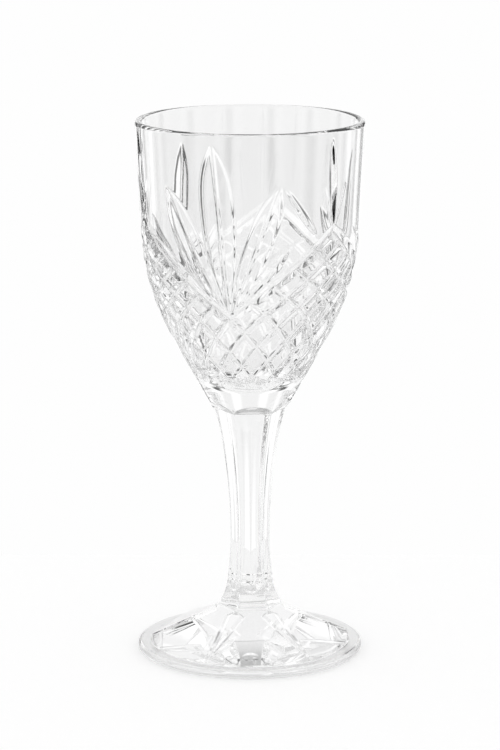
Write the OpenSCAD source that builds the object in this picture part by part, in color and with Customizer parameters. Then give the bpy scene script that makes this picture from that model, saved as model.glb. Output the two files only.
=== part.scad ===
// Stemmed wine glass in clear pressed crystal: a cut bowl on a six-sided stem,
// a flared collar and a round foot with six petals.
// Millimetres. The origin is the centre of the face the foot rests on, +Z is up.

/* [Whole glass] */
// Height from the table to the top of the rim
glass_h = 190.5; // [180:0.5:200]
// Outside diameter of the bowl at the rim
rim_d = 80; // [76:0.5:84]
// Diameter of the foot
foot_d = 80; // [74:0.5:86]

/* [Bowl] */
// Wall thickness at the rim
rim_wall = 2.4; // [2:0.1:3]
// Wall thickness where the cutting is, square to the wall
cut_wall = 4; // [3.6:0.1:4.6]
// Height of the seam where the bowl sits on the stem
bowl_z = 88; // [85:0.5:90]
// Radius of the bowl at that seam
bowl_seat_r = 13.3; // [13:0.1:14]
// Lean of the lower cone from the vertical
cone_lean = 28.4; // [27:0.1:29]
// Lean of the upper wall from the vertical
wall_lean = 2.9; // [2:0.1:3.5]
// Radius of the shoulder between the cone and the wall
shoulder_r = 82; // [70:1:95]
// Thickness of solid glass under the drink
base_t = 9.5; // [8:0.5:11]

/* [Cutting] */
// Times the fan of leaves repeats round the bowl
fan_count = 3; // [2:1:3]
// Turn of the first fan from the front of the glass
fan_turn = -12; // [-60:1:60]
// Depth of a leaf at its middle
leaf_depth = 1.2; // [0.8:0.1:1.5]
// Depth of the two wide bands that cross under each fan
band_depth = 1.3; // [0.8:0.1:1.5]

/* [Stem] */
// Sides of the stem and the collar, and petals on the foot
side_count = 6; // [6:2:8]
// Turn of a flat side of the stem from the front of the glass
stem_turn = 5; // [-30:1:30]
// Corner radius of the stem at its top
stem_top_r = 12.6; // [12:0.1:13]
// Corner radius of the stem at its narrowest place
stem_waist_r = 7; // [6.5:0.1:7.5]
// Corner radius of the stem where it meets the collar
stem_foot_r = 8.1; // [7.8:0.1:8.4]
// Height of the narrowest place
stem_waist_z = 41; // [38:0.5:45]

/* [Collar] */
// Height of the collar
collar_h = 9.4; // [8:0.1:10]
// Corner radius of the collar at its top
collar_top_r = 8.7; // [8.5:0.1:9]
// Corner radius of the collar at its lip
collar_lip_r = 11.4; // [11:0.1:11.8]
// Height of the straight lip
collar_lip_h = 1.4; // [1:0.1:2]

/* [Foot] */
// Thickness of the foot at its rounded edge
foot_edge_t = 3; // [2.5:0.1:3.5]
// Height of the foot under the collar
foot_h = 16; // [15:0.1:17]
// Width of the flat ring that touches the table
rest_ring_w = 6; // [4:0.5:9]
// Height of the hollow under the foot
hollow_h = 1.5; // [1:0.1:2.5]
// Depth of the flat petals below the round of the foot
petal_drop = 0.9; // [0.5:0.1:1.1]
// Plain margin between the petals and the foot's edge, and round the collar
petal_margin = 4; // [3:0.5:5]

/* [Hidden] */
$fn = 96;
arc_steps = 10;
side_steps = 16;
// The front of the glass faces -Y
front = 270;

rim_r = rim_d / 2;
foot_r = foot_d / 2;
lip_r = rim_wall / 2;
collar_z = foot_h;
stem_z = collar_z + collar_h;
side_turn = 360 / side_count;
glass_tint = [0.86, 0.9, 0.92, 0.45];
stem_tint = [0.8, 0.86, 0.9, 0.5];
collar_tint = [0.72, 0.8, 0.86, 0.6];
foot_tint = [0.82, 0.87, 0.9, 0.5];

// The lower cone rises from the seat, the upper wall drops from the rim, and
// they meet at a corner that the shoulder rounds off.
function corner_z(seat_r, seat_z, top_r, top_z) =
    (top_r - seat_r + seat_z * tan(cone_lean) - top_z * tan(wall_lean))
    / (tan(cone_lean) - tan(wall_lean));

// Points of [radius, height] round the shoulder, from the cone to the wall
function shoulder(seat_r, seat_z, top_r, top_z, bend_r) =
    let (
        zc = corner_z(seat_r, seat_z, top_r, top_z),
        rc = seat_r + (zc - seat_z) * tan(cone_lean),
        back = bend_r * tan((cone_lean - wall_lean) / 2),
        cr = rc - back * sin(cone_lean) - bend_r * cos(cone_lean),
        cz = zc - back * cos(cone_lean) + bend_r * sin(cone_lean)
    )
    [for (i = [0 : arc_steps])
        let (a = cone_lean + (wall_lean - cone_lean) * i / arc_steps)
        [cr + bend_r * cos(a), cz - bend_r * sin(a)]];

// Seat of the cavity's cone: the outer seat moved in by the cut wall
cavity_seat_r = bowl_seat_r - cut_wall / cos(cone_lean);
cavity_top_r = rim_r - rim_wall;
floor_z = bowl_z + base_t;
floor_cone_r = cavity_seat_r + base_t * tan(cone_lean);
floor_r = floor_cone_r * cos(cone_lean) / (1 - sin(cone_lean));
floor_join_r = floor_r * cos(cone_lean);
floor_join_z = floor_z + floor_r * (1 - sin(cone_lean));

module bowl_outline() {
    polygon(concat(
        [[0, bowl_z], [bowl_seat_r, bowl_z]],
        shoulder(bowl_seat_r, bowl_z, rim_r, glass_h, shoulder_r),
        [[rim_r, glass_h - lip_r], [0, glass_h - lip_r]]
    ));
}

// The cavity is open above the rim and has a round floor
module cavity_outline() {
    polygon(concat(
        [[0, floor_z + floor_r], [floor_join_r, floor_join_z]],
        shoulder(cavity_seat_r, bowl_z, cavity_top_r, glass_h, shoulder_r),
        [[cavity_top_r, glass_h], [0, glass_h]]
    ));
    intersection() {
        translate([0, floor_z + floor_r]) circle(floor_r);
        square([floor_r, glass_h]);
    }
}

// Radius of the bowl's outside at a height, for placing the cuts
shoulder_points = shoulder(bowl_seat_r, bowl_z, rim_r, glass_h, shoulder_r);
function bowl_r(z) = lookup(z, concat(
    [[bowl_z, bowl_seat_r]],
    [for (p = shoulder_points) [p[1], p[0]]],
    [[glass_h, rim_r]]));
function bowl_lean(z) = atan2(bowl_r(z + 1) - bowl_r(z - 1), 2);

// A mitre cut: the V-shaped edge of a wheel dipped into the wall. It gives a
// pointed leaf of a given length, width and depth, turned by tilt from upright.
module mitre_cut(turn, z, tilt, length, width, depth) {
    wheel_r = length * length / (8 * depth);
    edge = wheel_edge * depth;
    half = width / 2 * wheel_edge;
    rotate([0, 0, turn])
        translate([bowl_r(z), 0, z])
            rotate([0, 90 + bowl_lean(z), 0])
                rotate([0, 0, tilt])
                    translate([0, 0, wheel_r - depth])
                        rotate([90, 0, 0])
                            rotate_extrude()
                                polygon([[wheel_r - edge, -half], [wheel_r, 0], [wheel_r - edge, half]]);
}

// The V edge of the wheel is made this many times as tall as the cut is deep
wheel_edge = 2.5;

// Leaves of one fan as [turn from the middle, height, tilt, length, width]
leaves = [
    [0, 160, 0, 52, 9],
    [-26, 151, 24, 36, 8],
    [26, 151, -24, 36, 8],
    [-60, 170, 0, 32, 5]
];

// The two wide bands of one fan, from its peaks down to the valley and past it
bands = [[-27, 139, 51], [27, 139, -51]];
band_length = 120;
band_w = 5;

module fan_cuts() {
    for (leaf = leaves)
        mitre_cut(leaf[0], leaf[1], leaf[2], leaf[3], leaf[4], leaf_depth);
    for (band = bands)
        mitre_cut(band[0], band[1], band[2], band_length, band_w, band_depth);
}

module bowl() {
    color(glass_tint)
        difference() {
            union() {
                rotate_extrude()
                    difference() {
                        bowl_outline();
                        cavity_outline();
                    }
                rotate_extrude()
                    translate([rim_r - lip_r, glass_h - lip_r])
                        circle(lip_r);
            }
            for (i = [0 : fan_count - 1])
                rotate([0, 0, front + fan_turn + i * 360 / fan_count])
                    fan_cuts();
        }
}

// A six-sided body: slabs with one outline on both sides, crossed in a star.
// The outline is a list of [corner radius, height].
module six_sided(outline) {
    flat = cos(side_turn / 2);
    reach = max([for (p = outline) p[0]]);
    half = [for (p = outline) [p[0] * flat, p[1]]];
    mirrored = [for (i = [len(half) - 1 : -1 : 0]) [-half[i][0], half[i][1]]];
    intersection_for (i = [0 : side_count / 2 - 1])
        rotate([90, 0, stem_turn + (i + 0.5) * side_turn])
            linear_extrude(height = 4 * reach, center = true)
                polygon(concat(half, mirrored));
}

// Corner radius of the stem: it swells from the waist to both ends, and the
// upper swell ends in a quicker flare
stem_flare = 0.1;
function stem_r(z) = z > stem_waist_z
    ? let (t = (z - stem_waist_z) / (bowl_z - stem_waist_z))
        stem_waist_r + (stem_top_r - stem_waist_r)
        * ((1 - stem_flare) * t * t + stem_flare * pow(t, 6))
    : let (t = (stem_waist_z - z) / (stem_waist_z - stem_z))
        stem_waist_r + (stem_foot_r - stem_waist_r) * t * t;

module stem() {
    color(stem_tint)
        six_sided([for (i = [0 : side_steps])
            let (z = stem_z + (bowl_z - stem_z) * i / side_steps)
            [stem_r(z), z]]);
}

// The collar flares from the stem down to a short straight lip
module stem_collar() {
    flare_z = collar_z + collar_lip_h;
    color(collar_tint)
        six_sided(concat(
            [[collar_lip_r, collar_z]],
            [for (i = [0 : arc_steps])
                let (t = i / arc_steps)
                [collar_top_r + (collar_lip_r - collar_top_r) * (1 - t) * (1 - t),
                    flare_z + (stem_z - flare_z) * t]]
        ));
}

// Height of the foot's top at a radius: a low cone that sweeps up to the collar
foot_edge_r = foot_r - foot_edge_t / 2;
foot_cone = 0.62;
function foot_z(r) =
    let (t = (foot_edge_r - r) / (foot_edge_r - collar_lip_r))
    foot_edge_t + (foot_h - foot_edge_t) * (foot_cone * t + (1 - foot_cone) * pow(t, 10));

module foot_outline() {
    hollow_r = foot_edge_r - rest_ring_w;
    polygon(concat(
        [for (i = [0 : arc_steps])
            let (t = i / arc_steps)
            [hollow_r * t, hollow_h * (1 - t * t)]],
        [[foot_edge_r, 0]],
        [for (i = [0 : side_steps])
            let (r = foot_edge_r + (collar_lip_r - foot_edge_r) * i / side_steps)
            [r, foot_z(r)]],
        [[0, foot_h]]
    ));
    translate([foot_edge_r, foot_edge_t / 2]) circle(foot_edge_t / 2);
}

// A flat petal is sliced off the round of the foot on each side
module petal_slice() {
    inner_r = collar_lip_r + petal_margin;
    outer_r = foot_edge_r - petal_margin;
    fall = atan2(foot_z(inner_r) - foot_z(outer_r), outer_r - inner_r);
    translate([outer_r, 0, foot_z(outer_r) - petal_drop / 4])
        rotate([0, fall, 0])
            translate([-(outer_r - inner_r), -foot_r, 0])
                cube([2 * (outer_r - inner_r), foot_d, foot_h]);
}

module foot() {
    color(foot_tint)
        difference() {
            rotate_extrude() foot_outline();
            for (i = [0 : side_count - 1])
                rotate([0, 0, front + stem_turn + i * side_turn])
                    petal_slice();
        }
}

bowl();
stem();
stem_collar();
foot();
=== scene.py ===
import bpy
import numpy as np
from math import cos, radians, sin, sqrt, tan
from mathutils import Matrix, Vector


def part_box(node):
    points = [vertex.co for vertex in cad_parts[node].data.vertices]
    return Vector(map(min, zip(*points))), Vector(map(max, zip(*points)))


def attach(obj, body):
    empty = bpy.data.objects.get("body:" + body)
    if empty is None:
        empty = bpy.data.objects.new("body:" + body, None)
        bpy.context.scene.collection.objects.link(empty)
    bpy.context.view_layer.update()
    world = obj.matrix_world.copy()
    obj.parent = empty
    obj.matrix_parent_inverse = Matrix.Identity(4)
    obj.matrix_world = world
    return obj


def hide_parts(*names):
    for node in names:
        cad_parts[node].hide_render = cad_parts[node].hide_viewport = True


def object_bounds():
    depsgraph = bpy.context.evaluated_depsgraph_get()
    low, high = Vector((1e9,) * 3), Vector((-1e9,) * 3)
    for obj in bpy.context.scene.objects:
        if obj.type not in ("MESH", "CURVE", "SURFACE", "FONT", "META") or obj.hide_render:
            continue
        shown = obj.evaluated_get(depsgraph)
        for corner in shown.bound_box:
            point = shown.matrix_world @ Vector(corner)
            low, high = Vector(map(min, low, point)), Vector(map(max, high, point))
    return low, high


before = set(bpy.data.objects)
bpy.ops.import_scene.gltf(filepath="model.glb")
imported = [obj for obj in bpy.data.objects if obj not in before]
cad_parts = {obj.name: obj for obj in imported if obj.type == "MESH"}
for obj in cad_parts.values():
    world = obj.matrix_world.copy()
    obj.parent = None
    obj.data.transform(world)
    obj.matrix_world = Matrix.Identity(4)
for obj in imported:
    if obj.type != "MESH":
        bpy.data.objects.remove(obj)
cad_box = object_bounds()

MM = 0.001

# ---------------------------------------------------------------- the frame

bowl_low, bowl_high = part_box("bowl")
collar_low, collar_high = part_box("stem_collar")
foot_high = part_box("foot")[1]

# Heights and radii in millimetres, taken from the CAD boxes
GLASS_H = bowl_high[2] / MM
SEAM_Z = bowl_low[2] / MM
RIM_R = bowl_high[0] / MM
COLLAR_TOP_Z = collar_high[2] / MM
COLLAR_Z = collar_low[2] / MM
FOOT_R = foot_high[0] / MM

# ------------------------------------------------------------ driving values

# The angle round the glass is measured from the front (-Y) towards +X.
FAN_TURN = radians(-12)
STEM_TURN = radians(5)
FANS = 3
SIDES = 6
AROUND = 960

# The bowl's outside: a cone, a round shoulder and an upper wall
SEAT_R = 13.3
CONE_LEAN = radians(28.4)
WALL_LEAN = radians(2.9)
SHOULDER_R = 82.0
RIM_WALL = 2.4
CUT_WALL = 4.0
FLOOR_T = 9.5
# Steps along the bowl: under the cuts, through them and above them, then inside
CUTS_FROM_Z = 98
CUTS_TO_Z = 158
STEPS_BELOW = 28
STEPS_CUTS = 216
STEPS_ABOVE = 92
STEPS_INSIDE = 110
STEPS_BALL = 40
STEPS_LIP = 17
# A piece's end face is split at half its radius
HALF_FACE = 0.5
# The two materials of a piece: its glass, and the faces where it is fused
GLASS = 0
JOINT = 1


def smooth(values, rounds=1):
    """A small binomial blur over a grid that closes round the glass."""
    for _ in range(rounds):
        values = (np.roll(values, 1, 1) + 2 * values + np.roll(values, -1, 1)) / 4
        up = np.vstack([values[:1], values[:-1]])
        down = np.vstack([values[1:], values[-1:]])
        values = (up + 2 * values + down) / 4
    return values


def wrapped(angle, span):
    """The angle moved into plus and minus half a span."""
    return (angle + span / 2) % span - span / 2


def shoulder_line(seat_r, top_r, bend_r, steps=24):
    """Radius and height along the shoulder, between the cone and the wall."""
    slope = tan(CONE_LEAN) - tan(WALL_LEAN)
    corner_z = (top_r - seat_r + SEAM_Z * tan(CONE_LEAN) - GLASS_H * tan(WALL_LEAN)) / slope
    corner_r = seat_r + (corner_z - SEAM_Z) * tan(CONE_LEAN)
    back = bend_r * tan((CONE_LEAN - WALL_LEAN) / 2)
    centre_r = corner_r - back * sin(CONE_LEAN) - bend_r * cos(CONE_LEAN)
    centre_z = corner_z - back * cos(CONE_LEAN) + bend_r * sin(CONE_LEAN)
    turn = np.linspace(CONE_LEAN, WALL_LEAN, steps)
    return centre_r + bend_r * np.cos(turn), centre_z - bend_r * np.sin(turn)


def outside_r(z):
    """Radius of the uncut bowl at a height."""
    bend_r, bend_z = shoulder_line(SEAT_R, RIM_R, SHOULDER_R)
    return np.interp(z, [SEAM_Z, *bend_z, GLASS_H], [SEAT_R, *bend_r, RIM_R])


CAVITY_SEAT_R = SEAT_R - CUT_WALL / cos(CONE_LEAN)
CAVITY_FLOOR_Z = SEAM_Z + FLOOR_T
FLOOR_R = (CAVITY_SEAT_R + FLOOR_T * tan(CONE_LEAN)) * cos(CONE_LEAN) / (1 - sin(CONE_LEAN))
FLOOR_JOIN_Z = CAVITY_FLOOR_Z + FLOOR_R * (1 - sin(CONE_LEAN))


def inside_r(z):
    """Radius of the cavity at a height: a cone and wall over a round bottom."""
    bend_r, bend_z = shoulder_line(CAVITY_SEAT_R, RIM_R - RIM_WALL, SHOULDER_R)
    side = np.interp(z, [SEAM_Z, *bend_z, GLASS_H], [CAVITY_SEAT_R, *bend_r, RIM_R - RIM_WALL])
    down = np.clip(CAVITY_FLOOR_Z + FLOOR_R - z, 0, FLOOR_R)
    ball = np.sqrt(FLOOR_R ** 2 - down ** 2)
    return np.where(z < FLOOR_JOIN_Z, ball, side)


# ------------------------------------------------------------- mesh building


def lathe(name, rings, materials):
    """A closed mesh from rings, each (radius, height, material of the band above it).

    Radius and height are numbers or arrays round the glass. The first and the
    last ring close on a point on the axis.
    """
    count = AROUND
    turn = np.arange(count) * 2 * np.pi / count
    points = []
    for r, z, _ in rings:
        r = np.broadcast_to(r, count)
        z = np.broadcast_to(z, count)
        points.append(np.stack([r * np.sin(turn), -r * np.cos(turn), z], axis=1))
    points = np.concatenate(points)
    first = np.array([[0, 0, np.mean(rings[0][1])]])
    last = np.array([[0, 0, np.mean(rings[-1][1])]])
    verts = np.concatenate([points, first, last]) * MM

    j = np.arange(count)
    k = (j + 1) % count
    quads = []
    quad_slots = []
    for i in range(len(rings) - 1):
        a = i * count
        b = a + count
        quads.append(np.stack([a + j, a + k, b + k, b + j], axis=1))
        quad_slots.append(np.full(count, rings[i][2]))
    quads = np.concatenate(quads)
    pole_low = len(points)
    pole_high = pole_low + 1
    top = (len(rings) - 1) * count
    fan_low = np.stack([k, j, np.full(count, pole_low)], axis=1)
    fan_high = np.stack([top + j, top + k, np.full(count, pole_high)], axis=1)
    slots = np.concatenate([*quad_slots, np.full(count, rings[0][2]), np.full(count, rings[-1][2])])

    corners = np.concatenate([quads.ravel(), fan_low.ravel(), fan_high.ravel()]).astype(np.int32)
    sizes = np.concatenate([np.full(len(quads), 4), np.full(2 * count, 3)]).astype(np.int32)
    starts = np.concatenate([[0], np.cumsum(sizes)[:-1]]).astype(np.int32)
    mesh = bpy.data.meshes.new(name)
    mesh.vertices.add(len(verts))
    mesh.vertices.foreach_set("co", verts.astype(np.float32).ravel())
    mesh.loops.add(len(corners))
    mesh.loops.foreach_set("vertex_index", corners)
    mesh.polygons.add(len(sizes))
    mesh.polygons.foreach_set("loop_start", starts)
    mesh.polygons.foreach_set("loop_total", sizes)
    for material in materials:
        mesh.materials.append(material)
    mesh.polygons.foreach_set("material_index", slots.astype(np.int32))
    mesh.polygons.foreach_set("use_smooth", np.ones(len(sizes), dtype=bool))
    mesh.update()
    mesh.validate()
    piece = bpy.data.objects.new(name, mesh)
    bpy.context.scene.collection.objects.link(piece)
    return piece


# Turn of each point round the glass, and its turn from the middle of its stem side
TURN = np.arange(AROUND) * 2 * np.pi / AROUND
SIDE = 2 * np.pi / SIDES
CORNER_SOFT = 0.035
SIDE_ANGLE = wrapped(TURN - STEM_TURN, SIDE)


def six_sided(corner_r, hollow=0.0):
    """Radius round a hexagon with softened corners. hollow dishes its sides, in mm."""
    flat = corner_r * cos(SIDE / 2)
    corner = SIDE / 2
    soft = np.sqrt((corner - np.abs(SIDE_ANGLE)) ** 2 + CORNER_SOFT ** 2) - CORNER_SOFT
    steep = np.cos(corner - soft)
    dish = hollow * np.cos(SIDE_ANGLE * SIDES / 2) ** 2
    return flat / steep - dish


# --------------------------------------------------------- the cutting on the bowl

# Height of the valley under a fan of leaves, and of the peak between two fans
VALLEY_Z = 126.0
RISE = 0.49      # mm a degree of turn, above the valley
FALL = 0.65      # mm a degree of turn, below it


def climb(z):
    """Height as degrees of turn along a cut: zero at the valley."""
    return np.where(z > VALLEY_Z, (z - VALLEY_Z) / RISE, (z - VALLEY_Z) / FALL)


def v_cut(distance, half_width, depth, soft=0.12):
    """Depth of a V groove at a distance from its line, with a softened valley."""
    d = np.sqrt(distance ** 2 + soft ** 2)
    return np.clip((1 - d / half_width) * depth, 0, None)


# Leaves of a fan: turn and height of base and tip, half width, its place, depth
LEAVES = [
    ((0, 127), (-7.5, 187.5), 6.0, 0.62, 1.7),
    ((-1, 127), (-35, 171.5), 4.7, 0.60, 1.5),
    ((1, 127), (28, 173), 4.7, 0.60, 1.5),
    ((-2, 127), (-47, 153), 2.6, 0.62, 1.1),
    ((2, 127.5), (33, 151), 2.2, 0.62, 1.1),
]
# A crescent beside the leaves of the front fan
CRESCENT = ((30, 172), (48, 155), 1.5, 0.45, 1.0)
# The leaves of the two fans behind are slimmer and end lower, the slanting ones
# by twice as much
OTHER_DROP = 8.5
OTHER_SLIM = 0.65
SLANTING = 20
# The lattice is cut less deep behind
REAR_LATTICE = 0.66
# V cuts: half width and depth in mm
BAND_CUT = (2.3, 1.15)
CROSS_CUT = (1.6, 0.75)
LATTICE_CUT = (1.4, 0.85)
# How far under the valley the bold cross begins to show, and over what length
CROSS_REACH = 34
CROSS_FADE = 12
# The lattice lines: which way they climb, and degrees of turn from line to line
LATTICE_LINES = ((-1, 120 / 7), (1, 120 / 5))
# The scalloped lower edge of the cuts, with a drop over each corner of the stem
EDGE_Z = 100
SCALLOP_H = 2.2
SCALLOP_HALF = 19
EDGE_FADE = 0.6
EDGE_CUT = (0.7, 0.3)
EDGE_CUT_UP = 0.3
DROP_Z = 101.2
DROP_CUT = (1.1, 0.4, 0.3)
# A leaf: how narrow its base is, how round its tip, the width of its edge wall
# and of its midrib in mm, and the share of its depth at wall, slope and rib
LEAF_BASE = 0.85
LEAF_TIP = 2.6
LEAF_WALL = 1.1
LEAF_RIB = 0.9
LEAF_SHARES = (0.26, 0.34, 0.2)
LEAF_FULL = 1.6
# The trefoil over a peak, measured from the peak
SPEARS = [
    ((0, 156), (-3.5, 188.5), 2.0, 0.5, 1.15),
    ((-1, 157), (-8, 172), 0.5, 0.6, 0.3),
    ((1, 157), (8, 172), 0.5, 0.6, 0.3),
]


def leaf_cut(turn, s, r, leaf, run):
    """Depth of a pointed leaf with two flat facets that meet along its midrib."""
    (turn_0, z_0), (turn_1, z_1), half, widest, depth = leaf
    x_0 = radians(turn_0) * outside_r(z_0)
    x_1 = radians(turn_1) * outside_r(z_1)
    y_0 = run(z_0)
    y_1 = run(z_1)
    length = sqrt((x_1 - x_0) ** 2 + (y_1 - y_0) ** 2)
    ux = (x_1 - x_0) / length
    uy = (y_1 - y_0) / length
    x = turn * r
    along = ((x - x_0) * ux + (s - y_0) * uy) / length
    across = (x - x_0) * uy - (s - y_0) * ux
    below = np.clip((widest - along) / widest, 0, 1)
    above = np.clip((along - widest) / (1 - widest), 0, 1)
    width = half * (1 - LEAF_BASE * below ** 2) * (1 - above ** LEAF_TIP)
    width = np.where((along < 0) | (along > 1), 0, width)
    u = np.clip(np.abs(across) / np.maximum(width, 1e-6), 0, 1)
    wall = np.clip((width - np.abs(across)) / LEAF_WALL, 0, 1)
    rib = np.clip(1 - np.abs(across) / LEAF_RIB, 0, 1)
    scoop = LEAF_SHARES[0] * wall + LEAF_SHARES[1] * (1 - u) + LEAF_SHARES[2] * rib
    return scoop * depth * np.minimum(1, width / half * LEAF_FULL)


def cutting(turn, z, s, r, lean, run):
    """Depth of all the cuts, in mm, over a grid of turn and height."""
    own = np.degrees(wrapped(turn - FAN_TURN, 2 * np.pi / FANS))
    peak = np.degrees(wrapped(turn - FAN_TURN - np.pi / FANS, 2 * np.pi / FANS))
    up = climb(z)
    rate = np.where(z > VALLEY_Z, RISE, FALL)
    grad = np.sqrt((np.cos(lean) / rate) ** 2 + (180 / np.pi / r) ** 2)

    depth = np.zeros_like(z)
    fan_1 = np.abs(wrapped(turn - FAN_TURN, 2 * np.pi)) < np.pi / FANS
    for leaf in LEAVES:
        depth = np.maximum(depth, leaf_cut(np.radians(own), s, r, leaf, run) * fan_1)
        (base, (tip_turn, tip_z), half, widest, deep) = leaf
        drop = OTHER_DROP * (2 if abs(tip_turn) > SLANTING else 1)
        other = (base, (tip_turn, tip_z - drop), half * OTHER_SLIM, widest, deep)
        depth = np.maximum(depth, leaf_cut(np.radians(own), s, r, other, run) * ~fan_1)
    depth = np.maximum(depth, leaf_cut(np.radians(own), s, r, CRESCENT, run) * fan_1)
    front = np.abs(wrapped(turn - FAN_TURN - np.pi, 2 * np.pi)) > SIDE
    for leaf in SPEARS:
        depth = np.maximum(depth, leaf_cut(np.radians(peak), s, r, leaf, run) * front)

    # The zigzag bands, and the bold cross that they make past each valley
    band = np.abs(up - np.abs(own)) / grad
    depth = np.maximum(depth, v_cut(band, *BAND_CUT))
    cross = np.abs(up + np.abs(own)) / grad
    fade = np.clip((up + CROSS_REACH) / CROSS_FADE, 0, 1)
    depth = np.maximum(depth, v_cut(cross, *CROSS_CUT) * fade)

    # The lattice under the zigzag, down to the scallops
    inside = up < np.abs(own)
    rear = REAR_LATTICE + (1 - REAR_LATTICE) * np.clip((np.cos(turn) + 0.3) / 0.6, 0, 1)
    for way, step in LATTICE_LINES:
        line = np.abs(wrapped(up + way * own, step)) / grad
        lattice = v_cut(line, *LATTICE_CUT)
        depth = np.where(inside, np.maximum(depth, lattice * rear), depth)

    # The scalloped edge and its drops
    side = np.degrees(wrapped(turn - STEM_TURN, SIDE))
    edge_z = EDGE_Z + SCALLOP_H * (np.clip(np.abs(side), 0, SCALLOP_HALF) / SCALLOP_HALF) ** 2
    over = z - edge_z
    depth = depth * np.clip(over / EDGE_FADE, 0, 1)
    depth = np.maximum(depth, v_cut(over - EDGE_CUT_UP, *EDGE_CUT))
    across = (180 / SIDES - np.abs(side)) * np.pi / 180 * r
    drop = np.sqrt(across ** 2 + ((z - DROP_Z) / np.cos(lean)) ** 2)
    return np.maximum(depth, v_cut(drop, *DROP_CUT))


# How the stem's flutes leave the bowl: room at the seam, slope and curve upward,
# the rounding where they meet the cone, and where they have ended
FLUTE_ROOM = 0.2
FLUTE_SLOPE = 0.75
FLUTE_CURVE = 0.12
FLUTE_BLEND = 0.25
FLUTE_END_Z = 99
# The inside ends in a small flat on the axis (degrees), below the join of ball and cone
BALL_FROM = 61.6
BALL_TO = 1


def bowl_rings():
    """The bowl: seam, cut outside, rim, then the cavity down to its bottom."""
    z = np.concatenate([
        np.linspace(SEAM_Z, CUTS_FROM_Z, STEPS_BELOW)[:-1],
        np.linspace(CUTS_FROM_Z, CUTS_TO_Z, STEPS_CUTS)[:-1],
        np.linspace(CUTS_TO_Z, GLASS_H - RIM_WALL / 2, STEPS_ABOVE),
    ])
    r = outside_r(z)
    lean = np.arctan(np.gradient(r, z))
    s = np.concatenate([[0], np.cumsum(np.hypot(np.diff(r), np.diff(z)))])

    def run(height):
        return float(np.interp(height, z, s))

    turn = TURN[None, :] + 0 * z[:, None]
    grid_z = z[:, None] + 0 * turn
    grid_r = r[:, None] + 0 * turn
    grid_s = s[:, None] + 0 * turn
    grid_lean = lean[:, None] + 0 * turn
    depth = smooth(cutting(turn, grid_z, grid_s, grid_r, grid_lean, run), 1)

    # The stem's flutes run up into the bottom of the bowl and end in arches
    over = grid_z - SEAM_Z
    flute = (SEAT_R - FLUTE_ROOM) * cos(SIDE / 2) + FLUTE_SLOPE * over + FLUTE_CURVE * over ** 2
    flute = flute / np.cos(SIDE_ANGLE)[None, :]
    cone = grid_r - depth * np.cos(grid_lean)
    wall = (cone + flute - np.sqrt((cone - flute) ** 2 + FLUTE_BLEND ** 2)) / 2
    wall = np.where(grid_z < FLUTE_END_Z, wall, cone)
    height = grid_z + depth * np.sin(grid_lean)

    stem_top = stem_outline(SEAM_Z)
    rings = [
        (stem_top * HALF_FACE, SEAM_Z, JOINT),
        (stem_top, SEAM_Z, GLASS),
        *[(wall[i], height[i], GLASS) for i in range(len(z))],
    ]
    # Fire-polished rim: half a circle over the wall
    lip = RIM_WALL / 2
    for a in np.linspace(0, np.pi, STEPS_LIP)[1:-1]:
        rings.append((RIM_R - lip + lip * cos(a), GLASS_H - lip + lip * sin(a), GLASS))
    ball = np.linspace(radians(BALL_FROM), radians(BALL_TO), STEPS_BALL)[1:]
    inner_z = np.concatenate([
        np.linspace(GLASS_H - lip, FLOOR_JOIN_Z, STEPS_INSIDE),
        CAVITY_FLOOR_Z + FLOOR_R * (1 - np.cos(ball)),
    ])
    for h in inner_z:
        rings.append((inside_r(h), h, GLASS))
    return rings


# ------------------------------------------------------- stem, collar and foot

WAIST_Z = 41.0
WAIST_R = 7.0
STEM_TOP_R = 12.6
STEM_FOOT_R = 8.1
# The stem widens to the bowl mostly by this square term, the rest near its top
STEM_SPREAD = 0.9
STEM_STEPS = 90
COLLAR_LIP_R = 11.4
COLLAR_ROUND = 0.1
COLLAR_CURVE = 1.7
COLLAR_STEPS = 70
# Depth of the flutes along the stem and at their arched lower ends
FLUTE = 0.3
FLUTE_LOW = 1.1
ARCH_Z = 24.4
ARCH_H = 2.6
ARCH_SOFT = 0.4


def stem_corner(z):
    """Radius of the stem's corners at a height."""
    up = (z - WAIST_Z) / (SEAM_Z - WAIST_Z)
    down = (WAIST_Z - z) / (WAIST_Z - COLLAR_TOP_Z)
    if z > WAIST_Z:
        spread = STEM_SPREAD * up ** 2 + (1 - STEM_SPREAD) * up ** 6
        return WAIST_R + (STEM_TOP_R - WAIST_R) * spread
    return WAIST_R + (STEM_FOOT_R - WAIST_R) * down ** 2


def column(corner, z):
    """Outline of the stem or collar: six flutes that end at the bottom in arches."""
    arch = ARCH_Z - ARCH_H * (1 - (SIDE_ANGLE / (SIDE / 2)) ** 2)
    over = np.clip((z - arch) / ARCH_SOFT, 0, 1)
    deep = FLUTE + (FLUTE_LOW - FLUTE) * np.clip((WAIST_Z - z) / (WAIST_Z - ARCH_Z), 0, 1) ** 2
    return six_sided(corner, hollow=deep * over)


def stem_outline(z):
    return column(stem_corner(z), z)


def stem_rings():
    """The stem, from the top of the collar to the seam under the bowl."""
    heights = np.linspace(COLLAR_TOP_Z, SEAM_Z, STEM_STEPS)
    rings = [(stem_outline(COLLAR_TOP_Z) * HALF_FACE, COLLAR_TOP_Z, JOINT)]
    rings += [(stem_outline(z), z, GLASS) for z in heights[:-1]]
    rings.append((stem_outline(SEAM_Z), SEAM_Z, JOINT))
    rings.append((stem_outline(SEAM_Z) * HALF_FACE, SEAM_Z, JOINT))
    return rings


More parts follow.
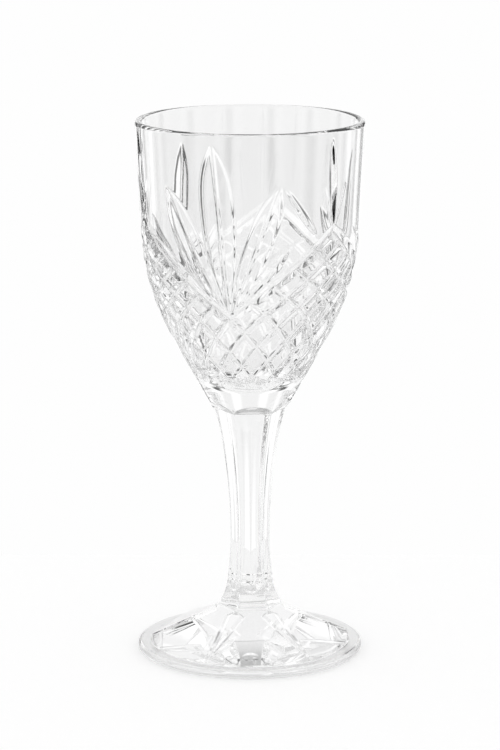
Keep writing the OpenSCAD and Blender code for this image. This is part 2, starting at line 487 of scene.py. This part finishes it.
def collar_rings():
    """The collar: a six-sided flare from the stem down to the foot."""
    seat = six_sided(COLLAR_LIP_R - COLLAR_ROUND)
    rings = [
        (seat * HALF_FACE, COLLAR_Z, JOINT),
        (seat, COLLAR_Z, GLASS),
        (six_sided(COLLAR_LIP_R), COLLAR_Z + COLLAR_ROUND, GLASS),
    ]
    for t in np.linspace(0.05, 1, COLLAR_STEPS)[:-1]:
        corner = STEM_FOOT_R + (COLLAR_LIP_R - STEM_FOOT_R) * (1 - t) ** COLLAR_CURVE
        z = COLLAR_Z + (COLLAR_TOP_Z - COLLAR_Z) * t
        rings.append((column(corner, z), z, GLASS))
    rings.append((stem_outline(COLLAR_TOP_Z), COLLAR_TOP_Z, JOINT))
    rings.append((stem_outline(COLLAR_TOP_Z) * HALF_FACE, COLLAR_TOP_Z, JOINT))
    return rings


EDGE_T = 3.0
EDGE_R = FOOT_R - EDGE_T / 2
REST_W = 6.0
HOLLOW_H = 0.5
# Six flat petals from the collar's sides and six narrower ones from its corners
STAR_R = 35.0
STAR_STEP = 0.5
STAR_LIFT = 0.1
STEEP = 0.57
SHALLOW = 0.485
CREASE = 8.0
# The corner petals: their two slopes and where they change, in mm
LEAF_OUT = 0.8
LEAF_START = 1.5
LEAF_IN = 2.5
# The groove between two petals: depth, half width, and where it is at full depth
GROOVE = 0.5
GROOVE_HALF = 0.5
GROOVE_FULL = 2
FOOT_STEPS = 200
HOLLOW_STEPS = 40
EDGE_STEPS = 15


def foot_rings():
    """The foot: shallow hollow, flat rest, round edge, then the star up to the collar."""
    hollow_r = EDGE_R - REST_W
    rings = []
    for t in np.linspace(0.02, 1, HOLLOW_STEPS):
        rings.append((hollow_r * t, HOLLOW_H * (1 - t * t), GLASS))
    rings.append((EDGE_R, 0.0, GLASS))
    for a in np.linspace(-np.pi / 2, np.pi / 2, EDGE_STEPS)[1:]:
        rings.append((EDGE_R + EDGE_T / 2 * cos(a), EDGE_T / 2 + EDGE_T / 2 * sin(a), GLASS))
    inner = six_sided(COLLAR_LIP_R - COLLAR_ROUND)
    for t in np.linspace(0, 1, FOOT_STEPS)[1:]:
        r = EDGE_R + (inner - EDGE_R) * t
        petal = r * np.cos(SIDE_ANGLE) - COLLAR_LIP_R * cos(SIDE / 2)
        corner = np.clip(r * np.cos(SIDE / 2 - np.abs(SIDE_ANGLE)) - COLLAR_LIP_R, 0, None)
        leaf = np.minimum(LEAF_OUT * corner + LEAF_START, LEAF_IN * corner)
        ridge = np.clip(1 - np.abs(petal - leaf) / GROOVE_HALF, 0, 1)
        groove = GROOVE * ridge * np.clip(petal / GROOVE_FULL, 0, 1)
        out = np.clip(np.maximum(petal, leaf), 0, None)
        star = COLLAR_Z - STEEP * np.minimum(out, CREASE) - SHALLOW * np.clip(out - CREASE, 0, None)
        margin = EDGE_T + STAR_LIFT * (EDGE_R - r) / (EDGE_R - STAR_R)
        edge = np.clip((STAR_R + STAR_STEP - r) / STAR_STEP, 0, 1)
        rings.append((r, np.clip(margin + (star - groove - margin) * edge, 0, COLLAR_Z), GLASS))
    rings[-1] = (inner, COLLAR_Z, JOINT)
    rings.append((inner * HALF_FACE, COLLAR_Z, JOINT))
    return rings


# --------------------------------------------------------------------- materials


# Painted shade: the glass is tinted grey so that it looks darker, standing in for dim surroundings
# seen in it
CRYSTAL_PAINTED_SHADE = 0.92
CRYSTAL_IOR = 1.52
RIPPLE_SCALE = 90.0
RIPPLE_DETAIL = 1.5
RIPPLE_H = 0.02 * MM


def crystal_material():
    """Pressed crystal, tinted grey as painted shade, with the faint ripple that pressing leaves on
    it.
    """
    mat = bpy.data.materials.new("crystal")
    mat.use_nodes = True
    nodes = mat.node_tree.nodes
    links = mat.node_tree.links
    bsdf = nodes["Principled BSDF"]
    # Painted shade: this grey base colour darkens everything seen through the glass
    bsdf.inputs["Base Color"].default_value = (CRYSTAL_PAINTED_SHADE, CRYSTAL_PAINTED_SHADE, CRYSTAL_PAINTED_SHADE, 1)
    bsdf.inputs["IOR"].default_value = CRYSTAL_IOR
    bsdf.inputs["Transmission Weight"].default_value = 1.0
    bsdf.inputs["Roughness"].default_value = 0.0
    place = nodes.new("ShaderNodeTexCoord")
    noise = nodes.new("ShaderNodeTexNoise")
    noise.inputs["Scale"].default_value = RIPPLE_SCALE
    noise.inputs["Detail"].default_value = RIPPLE_DETAIL
    bump = nodes.new("ShaderNodeBump")
    bump.inputs["Strength"].default_value = 1.0
    bump.inputs["Distance"].default_value = RIPPLE_H
    links.new(place.outputs["Object"], noise.inputs["Vector"])
    links.new(noise.outputs["Fac"], bump.inputs["Height"])
    links.new(bump.outputs["Normal"], bsdf.inputs["Normal"])
    return mat


def joint_material():
    """Where two pieces are fused there is no surface, so light goes straight on."""
    mat = bpy.data.materials.new("fused_joint")
    mat.use_nodes = True
    nodes = mat.node_tree.nodes
    nodes.remove(nodes["Principled BSDF"])
    clear = nodes.new("ShaderNodeBsdfTransparent")
    mat.node_tree.links.new(clear.outputs[0], nodes["Material Output"].inputs["Surface"])
    return mat


crystal = crystal_material()
joint = joint_material()

for node_name, rings in (
    ("bowl", bowl_rings()),
    ("stem", stem_rings()),
    ("stem_collar", collar_rings()),
    ("foot", foot_rings()),
):
    piece = lathe(node_name + "_glass", rings, [crystal, joint])
    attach(piece, "root")
    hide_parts(node_name)

# ------------------------------------------------------------------ the studio

# A white tent round the glass: eight equal windows, brighter to both sides of
# their middle, with a soft dim gap between two windows. Angles in degrees.
WHITE = 0.991
WINDOW_STEP = 45.0
BRIGHT = (8.5, 16.5, 2.5)
BRIGHT_LIGHT = 1.22
GAP_FROM = 16.8
GAP_FULL = 21.3
GAP_DARK = 0.93
GAP_TOP = (2.0, 14.0)
# The windows end at this rise, and the tent's top is dimmer
WINDOW_TOP = (26.0, 44.0)
TOP_FROM = 36.0
TOP_FULL = 60.0
TOP_DARK = 0.45
# The floor: one plain white, part matt and part glow, as bright as the tent
FLOOR_GLOW = 0.515
FLOOR_MATT = 0.60
FLOOR_HALF = 0.12
FLOOR_GAP = 0.02 * MM
# The camera: in front of the glass (-Y), above it and tilted down at it
CAMERA_LENS = 148.0
CAMERA_SENSOR = 36
CAMERA_PLACE = (0, -1.0613, 0.3344)
CAMERA_TILT = 12.473
BOUNCES = 24
GLOSSY_BOUNCES = 12
CLEAR_BOUNCES = 16


class Maths:
    """Number nodes in one node tree."""

    def __init__(self, tree):
        self.nodes = tree.nodes
        self.links = tree.links

    def __call__(self, op, *values):
        n = self.nodes.new("ShaderNodeMath")
        n.operation = op
        for i, v in enumerate(values):
            if isinstance(v, (int, float)):
                n.inputs[i].default_value = v
            else:
                self.links.new(v, n.inputs[i])
        return n.outputs[0]

    def step(self, value, low, high):
        n = self.nodes.new("ShaderNodeMapRange")
        n.interpolation_type = "SMOOTHSTEP"
        self.links.new(value, n.inputs["Value"])
        n.inputs["From Min"].default_value = low
        n.inputs["From Max"].default_value = high
        return n.outputs["Result"]

    def band(self, value, low, high, soft):
        rising = self.step(value, low - soft, low + soft)
        falling = self.step(value, high + soft, high - soft)
        return self("MULTIPLY", rising, falling)


def world_studio():
    """Plain soft light, the same for every ray and from all eight sides."""
    world = bpy.data.worlds.new("studio")
    bpy.context.scene.world = world
    world.use_nodes = True
    nodes = world.node_tree.nodes
    links = world.node_tree.links
    nodes.clear()
    m = Maths(world.node_tree)

    place = nodes.new("ShaderNodeTexCoord")
    split = nodes.new("ShaderNodeSeparateXYZ")
    links.new(place.outputs["Generated"], split.inputs[0])
    x, y, z = split.outputs
    side = m("ABSOLUTE", m("DEGREES", m("ARCTAN2", x, m("MULTIPLY", y, -1.0))))
    rise = m("DEGREES", m("ARCSINE", z))
    half = WINDOW_STEP / 2
    off = m("SUBTRACT", half, m("ABSOLUTE", m("SUBTRACT", m("MODULO", side, WINDOW_STEP), half)))
    level = m("SUBTRACT", 1.0, m.step(rise, *WINDOW_TOP))
    bright = m("MULTIPLY", m("MULTIPLY", m.band(off, *BRIGHT), level), BRIGHT_LIGHT - WHITE)
    low = m("SUBTRACT", 1.0, m.step(rise, *GAP_TOP))
    gap = m("MULTIPLY", m("MULTIPLY", m.step(off, GAP_FROM, GAP_FULL), low), GAP_DARK)
    top = m("MULTIPLY", m.step(rise, TOP_FROM, TOP_FULL), TOP_DARK)
    light = m("MULTIPLY", m("ADD", WHITE, bright), m("SUBTRACT", 1.0, gap))
    light = m("MULTIPLY", light, m("SUBTRACT", 1.0, top))

    studio = nodes.new("ShaderNodeBackground")
    links.new(light, studio.inputs["Strength"])
    studio.inputs["Color"].default_value = (1, 1, 1, 1)
    out = nodes.new("ShaderNodeOutputWorld")
    links.new(studio.outputs[0], out.inputs["Surface"])


def floor():
    """A plain white floor, the same all over and for every ray."""
    half = FLOOR_HALF
    mesh = bpy.data.meshes.new("floor")
    z = cad_box[0][2] - FLOOR_GAP
    corners = [(-half, -half, z), (half, -half, z), (half, half, z), (-half, half, z)]
    mesh.from_pydata(corners, [], [(0, 1, 2, 3)])
    ob = bpy.data.objects.new("floor", mesh)
    bpy.context.scene.collection.objects.link(ob)
    mat = bpy.data.materials.new("floor_white")
    mat.use_nodes = True
    bsdf = mat.node_tree.nodes["Principled BSDF"]
    bsdf.inputs["Base Color"].default_value = (FLOOR_MATT, FLOOR_MATT, FLOOR_MATT, 1)
    bsdf.inputs["Roughness"].default_value = 1.0
    bsdf.inputs["Specular IOR Level"].default_value = 0.0
    bsdf.inputs["Emission Color"].default_value = (1, 1, 1, 1)
    bsdf.inputs["Emission Strength"].default_value = FLOOR_GLOW
    mesh.materials.append(mat)


def camera():
    """The camera at the photograph's viewing angle."""
    cam = bpy.data.cameras.new("camera")
    cam.sensor_width = CAMERA_SENSOR
    cam.lens = CAMERA_LENS
    ob = bpy.data.objects.new("camera", cam)
    ob.location = CAMERA_PLACE
    ob.rotation_euler = (radians(90 - CAMERA_TILT), 0, 0)
    bpy.context.scene.collection.objects.link(ob)
    bpy.context.scene.camera = ob


world_studio()
floor()
camera()

scene = bpy.context.scene
scene.view_settings.view_transform = "Standard"
scene.cycles.use_denoising = True
scene.cycles.max_bounces = BOUNCES
scene.cycles.transmission_bounces = BOUNCES
scene.cycles.glossy_bounces = GLOSSY_BOUNCES
scene.cycles.transparent_max_bounces = CLEAR_BOUNCES
